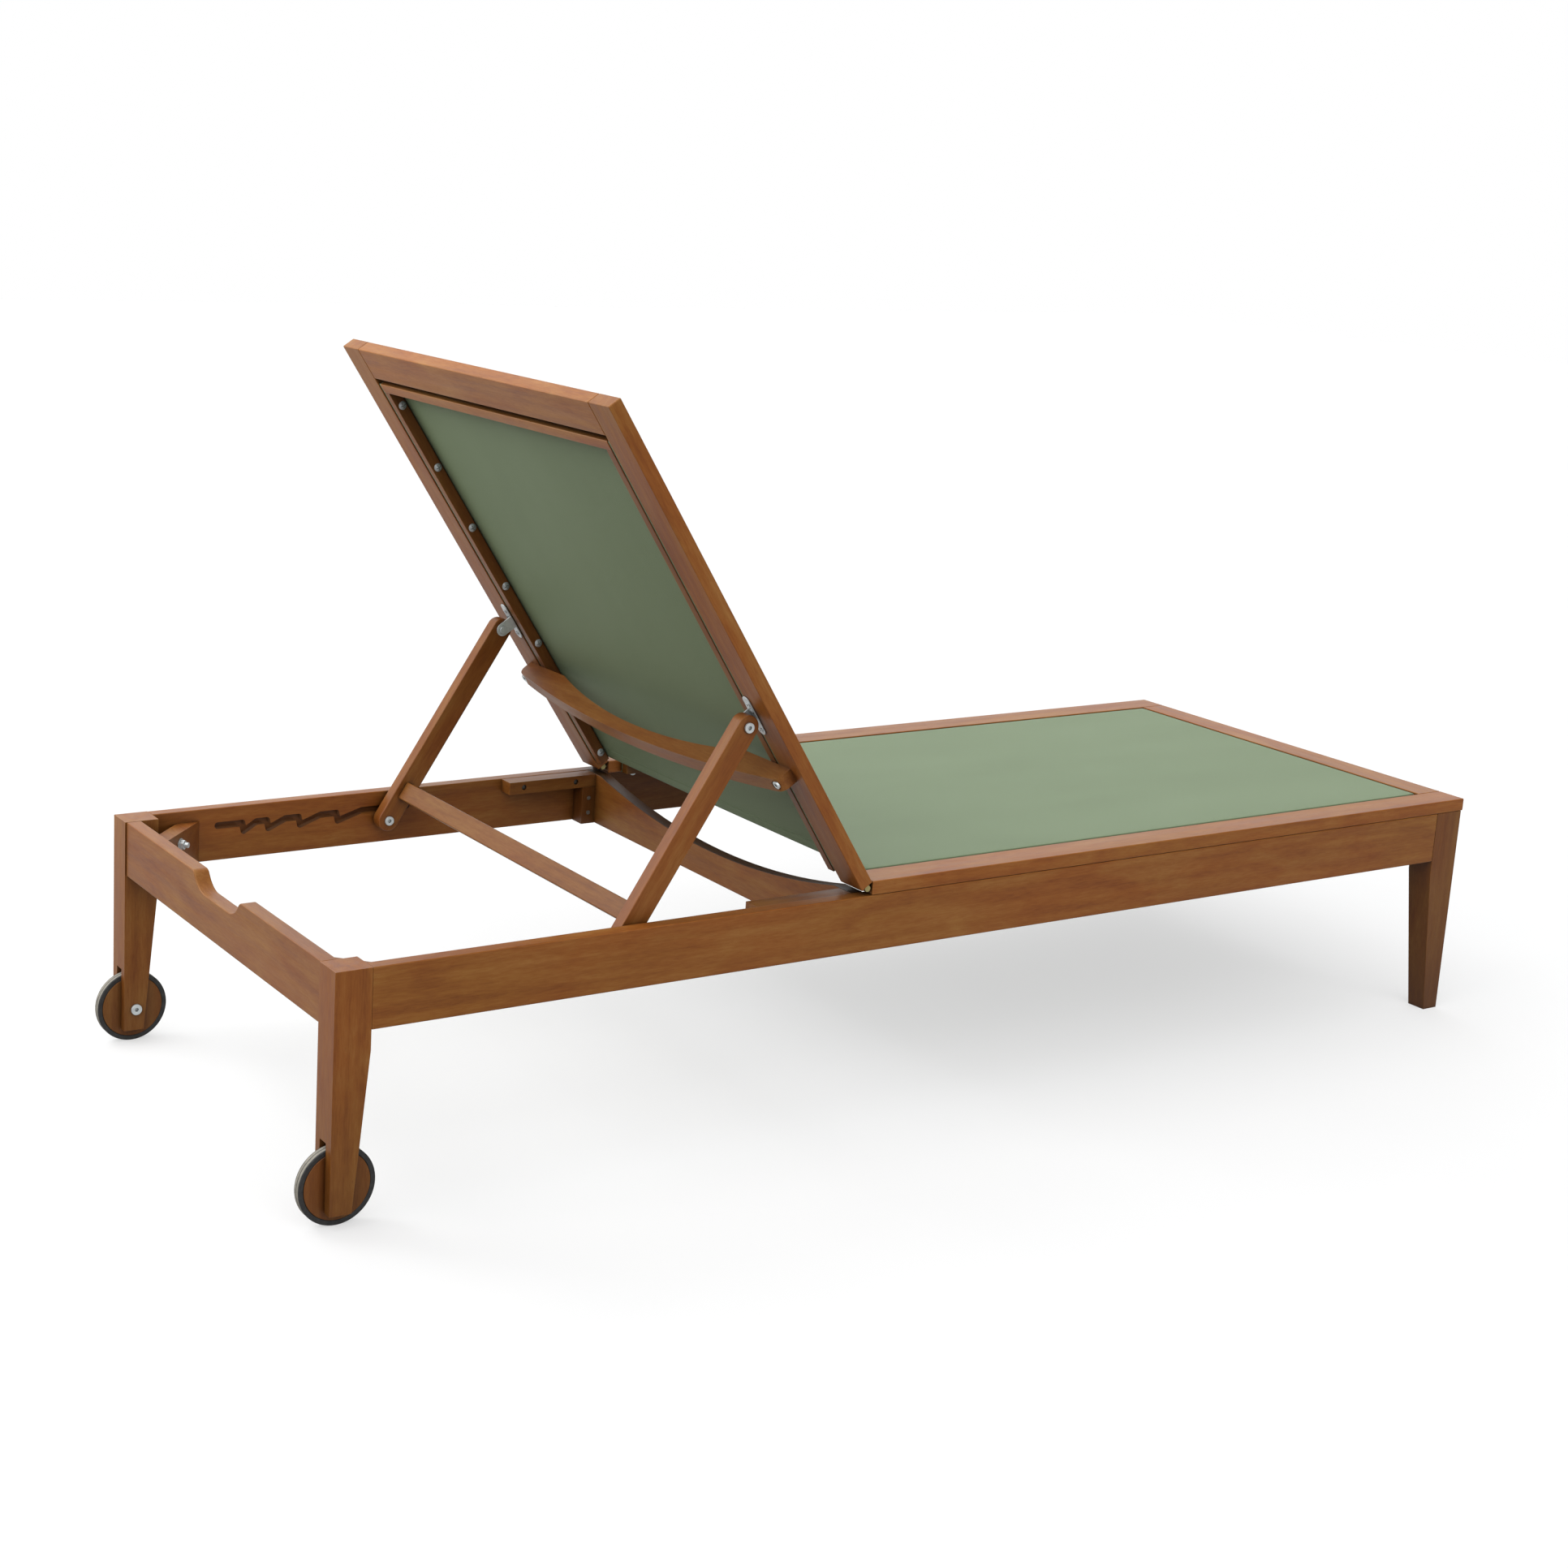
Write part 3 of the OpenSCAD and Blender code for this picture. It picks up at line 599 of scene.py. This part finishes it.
def sling(name, free, length, deep, end_fold, spot, material):
    """Stretched cloth from the free edge to length, turned down at three sides."""
    end_drop, lip = end_fold
    turn = FOLD_RADIUS
    end = length - turn
    side = HALF_CLOTH - turn
    # Rows of faces, closer together round the bend.
    tail = [0.0004, 0.0009, 0.0014, 0.0020, 0.0025, 0.006]
    side_tail = tail + [0.011, DROP, DROP + LIP / 2, DROP + LIP]
    end_tail = tail + [end_drop, end_drop + lip / 2, end_drop + lip]
    across = [-(side + t) for t in reversed(side_tail)] + steps(-side, side, 56)
    across += [side + t for t in side_tail]
    along = steps(free, end, 70) + [end + t for t in end_tail]
    vertices, index = [], {}
    for i, u in enumerate(along):
        for j, v in enumerate(across):
            past_end = u > end + 1e-9
            past_side = abs(v) > side + 1e-9
            if past_end and past_side:
                continue
            run_u, fall_u = fold(u - end, turn, end_drop) if past_end else (0.0, 0.0)
            run_v, fall_v = fold(abs(v) - side, turn, DROP) if past_side else (0.0, 0.0)
            flat_u = min(u, end)
            flat_v = max(-side, min(side, v))
            fall = fall_u + fall_v + sag(flat_u, flat_v, length, deep, free)
            index[i, j] = len(vertices)
            vertices.append(spot(flat_u + run_u, flat_v + math.copysign(run_v, v), fall))
    faces = []
    for i in range(len(along) - 1):
        for j in range(len(across) - 1):
            corner = [(i, j), (i + 1, j), (i + 1, j + 1), (i, j + 1)]
            if all(key in index for key in corner):
                faces.append([index[key] for key in corner])
    return add_sheet(name, vertices, faces, material, CLOTH_THICK)


def hem(name, free, length, deep, spot, material):
    """Second layer of the free edge, folded under and pressed flat.

    Each row is its run from the free edge and its depth in cloth thicknesses.
    """
    across = steps(-HALF_CLOTH + 0.002, HALF_CLOTH - 0.002, 56)
    rows = [(0.0, 0.0), (-0.0005, 0.3), (-0.0005, 0.55), (0.0, 0.85), (0.004, 0.85)]
    rows += [(0.009, 0.7), (0.015, 0.5), (HEM, 0.05)]
    vertices = []
    for run, drop in rows:
        for v in across:
            u = free + run
            down = drop * CLOTH_THICK + sag(max(u, free), v, length, deep, free)
            vertices.append(spot(u, v, down))
    wide = len(across)
    faces = [(r * wide + c, r * wide + c + 1, (r + 1) * wide + c + 1, (r + 1) * wide + c)
             for r in range(len(rows) - 1) for c in range(wide - 1)]
    return add_sheet(name, vertices, faces, material, CLOTH_THICK * 0.5)


def stitch(mesh, ends, lift):
    """One stitch from end to end, dipping into the cloth; lift points away from it."""
    aside = (ends[1] - ends[0]).normalized().cross(lift)
    rings = []
    for part, fat in ((0.0, 0.25), (0.2, 0.9), (0.5, 1.1), (0.8, 0.9), (1.0, 0.25)):
        middle = ends[0].lerp(ends[1], part) - lift * THREAD * (0.6 if fat < 0.5 else 0.0)
        round_it = [math.cos(turn) * lift + math.sin(turn) * aside for turn in FIVE_TURNS]
        rings.append([mesh.verts.new(middle + THREAD * fat * 0.5 * way) for way in round_it])
    for low, high in zip(rings, rings[1:]):
        for n in range(5):
            mesh.faces.new((low[n], low[(n + 1) % 5], high[(n + 1) % 5], high[n]))
    mesh.faces.new(rings[0][::-1])
    mesh.faces.new(rings[-1])


def stitches(name, free, length, deep, spot, material):
    """Lock stitches along the hem, on both faces of the cloth."""
    seam = bmesh.new()
    margin = 0.006
    u = free + HEM - 0.004
    for k in range(int(2 * (HALF_CLOTH - margin) / STITCH_PITCH)):
        v = -HALF_CLOTH + margin + (k + 0.5) * STITCH_PITCH
        down = sag(u, v, length, deep, free)
        for depth in STITCH_FACES:
            ends = [Vector(spot(u, v + way * STITCH_LONG / 2, down + depth)) for way in (-1, 1)]
            away = Vector(spot(u, v, down + depth * 1.25)) - Vector(spot(u, v, down))
            stitch(seam, ends, away.normalized())
    mesh = bpy.data.meshes.new(name)
    seam.to_mesh(mesh)
    seam.free()
    return add_object(name, mesh, material)


def on_seat(u, v, down):
    """u along the bed from the back hinge, v across, down from the seat's face."""
    return (HINGE.x + u, v, HINGE.z + FACE_RISE - down)


def on_back(u, v, down):
    """u up the backrest from the hinge, v across, down behind its face."""
    depth = FACE_RISE - down
    return (HINGE.x - u * math.cos(BACK_TURN) + depth * math.sin(BACK_TURN), v,
            HINGE.z + u * math.sin(BACK_TURN) + depth * math.cos(BACK_TURN))


def make_slings():
    """Both cloths with their hems and stitches, in place of the CAD slings."""
    seat_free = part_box("seat_sling")[0][0] - HINGE.x
    seat_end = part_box("seat_foot_bar")[0][0] - FOOT_GAP - HINGE.x
    sewing = thread("sewing_thread")
    plans = [
        ("seat", "base", seat_free, seat_end, SEAT_SAG, (DROP, LIP), on_seat, ALONG_X,
         ["seat_batten_left", "seat_batten_right", "seat_foot_batten"]),
        ("back", "backrest", BACK_FREE, BACK_END, BACK_SAG, TOP_FOLD, on_back, ALONG_BACK,
         ["back_batten_left", "back_batten_right", "back_top_batten"]),
    ]
    for part, body, free, end, deep, end_fold, spot, turn, held_by in plans:
        cloth = weave(part + "_weave", turn)
        sheet = sling(part + "_cloth", free, end, deep, end_fold, spot, cloth)
        edge = hem(part + "_hem", free, end, deep, spot, cloth)
        seam = stitches(part + "_stitches", free, end, deep, spot, sewing)
        for piece in (sheet, edge, seam):
            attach(piece, body)
        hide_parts(part + "_sling")


# ------------------------------------------------------------- floor and light


def make_floor():
    """Wide flat floor at the feet."""
    reach = 14.0
    corners = [(-reach, -reach, 0), (reach, -reach, 0), (reach, reach, 0), (-reach, reach, 0)]
    mesh = bpy.data.meshes.new("floor")
    mesh.from_pydata(corners, [], [(0, 1, 2, 3)])
    mesh.materials.append(floor_paint("floor_paint"))
    add_object("floor", mesh)


def sun(name, toward, strength, spread):
    """Far soft light that shines along toward; spread is its angular width in degrees."""
    lamp = bpy.data.lights.new(name, "SUN")
    lamp.energy = strength
    lamp.angle = math.radians(spread)
    made = add_object(name, lamp)
    made.rotation_euler = Vector(toward).to_track_quat("-Z", "Y").to_euler()


def soft_box():
    """Broad near lamp, out of the camera's sight."""
    place, aim, width, power = SOFT_BOX
    lamp = bpy.data.lights.new("soft_box", "AREA")
    lamp.size = width
    lamp.energy = power
    made = add_object("soft_box", lamp)
    made.location = place
    made.rotation_euler = (Vector(aim) - Vector(place)).to_track_quat("-Z", "Y").to_euler()
    made.visible_camera = False


def make_world():
    """White to look at; lights the object most from the backdrop's side."""
    world = bpy.data.worlds.new("studio")
    world.use_nodes = True
    tree = world.node_tree
    lit = tree.nodes["Background"]
    lit.inputs["Color"].default_value = (0.97, 0.99, 1.0, 1.0)
    toward = tree.nodes.new("ShaderNodeVectorMath")
    toward.operation = "DOT_PRODUCT"
    toward.inputs[1].default_value = BACKDROP
    tree.links.new(tree.nodes.new("ShaderNodeTexCoord").outputs["Generated"], toward.inputs[0])
    glow = tree.nodes.new("ShaderNodeMapRange")
    for key, number in zip(("From Min", "From Max", "To Min", "To Max"), (0.2, 0.9, SKY, GLOW)):
        glow.inputs[key].default_value = number
    tree.links.new(toward.outputs["Value"], glow.inputs["Value"])
    tree.links.new(glow.outputs[0], lit.inputs["Strength"])
    seen = tree.nodes.new("ShaderNodeBackground")
    seen.inputs["Color"].default_value = (1.0, 1.0, 1.0, 1.0)
    path = tree.nodes.new("ShaderNodeLightPath")
    choose = tree.nodes.new("ShaderNodeMixShader")
    tree.links.new(path.outputs["Is Camera Ray"], choose.inputs[0])
    tree.links.new(lit.outputs[0], choose.inputs[1])
    tree.links.new(seen.outputs[0], choose.inputs[2])
    tree.links.new(choose.outputs[0], tree.nodes["World Output"].inputs["Surface"])
    bpy.context.scene.world = world


def make_lights():
    """Even studio light, mostly from above, over a white background."""
    make_world()
    for name, toward, strength, spread in SUNS:
        sun(name, toward, strength, spread)
    soft_box()
    bpy.context.scene.view_settings.view_transform = "Standard"


def make_camera():
    """Camera at the height and angle of a person standing near the head end."""
    yaw, pitch, roll = (math.radians(angle) for angle in CAMERA_TURN)
    ahead = Vector((math.sin(yaw) * math.cos(pitch), math.cos(yaw) * math.cos(pitch),
                    math.sin(pitch)))
    level = Vector((math.cos(yaw), -math.sin(yaw), 0.0))
    upright = level.cross(ahead)
    right = level * math.cos(roll) + upright * math.sin(roll)
    up = upright * math.cos(roll) - level * math.sin(roll)
    lens = bpy.data.cameras.new("camera")
    lens.lens, lens.sensor_width = FOCAL_MM, SENSOR_MM
    lens.shift_x, lens.shift_y = LENS_SHIFT
    made = add_object("camera", lens)
    axes = Matrix((right, up, -ahead)).transposed().to_4x4()
    made.matrix_world = Matrix.Translation(CAMERA_PLACE) @ axes
    bpy.context.scene.camera = made


finish_boards()
finish_metal()
finish_wheels()
make_slings()
make_floor()
make_lights()
make_camera()
